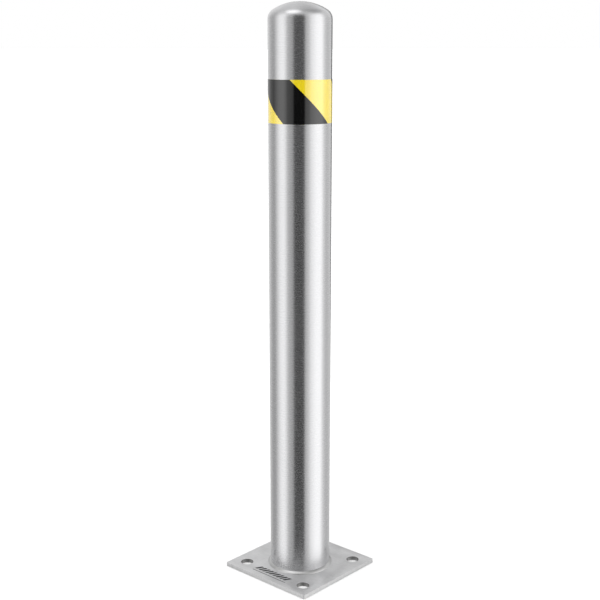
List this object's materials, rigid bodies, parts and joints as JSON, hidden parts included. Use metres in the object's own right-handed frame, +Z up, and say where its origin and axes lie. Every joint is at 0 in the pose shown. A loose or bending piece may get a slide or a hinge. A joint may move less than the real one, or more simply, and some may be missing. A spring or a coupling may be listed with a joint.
{
  "type": "safety bollard",
  "caption": "Surface-mounted stainless steel post with a domed top, a black and yellow hazard band and a square base plate drilled for floor anchors.",
  "frame": {"origin": "centre of the base plate's underside, on the floor", "axes": "+Z up along the post's axis, +X and +Y along the sides of the square plate, and -Y the front"},
  "size_m": [0.2032, 0.2032, 1.0668],
  "materials": {
    "plate_steel": "satin mill finish with a fine straight grain",
    "weld_steel": "bright fillet weld with fine ripples",
    "post_steel": "fine brushing round the post",
    "flush_weld_steel": "ground flush and brushed over",
    "dome_steel": "fine brushing round the dome",
    "tape_yellow": "glossy hazard tape",
    "tape_black": "glossy printed ink"
  },
  "bodies": {
    "root": {"base_plate": "plate_steel", "base_weld": "weld_steel", "post_tube": "post_steel", "cap_weld": "flush_weld_steel", "dome_cap": "dome_steel", "tape_film": "tape_yellow", "tape_stripes": "tape_black"}
  },
  "joints": []
}
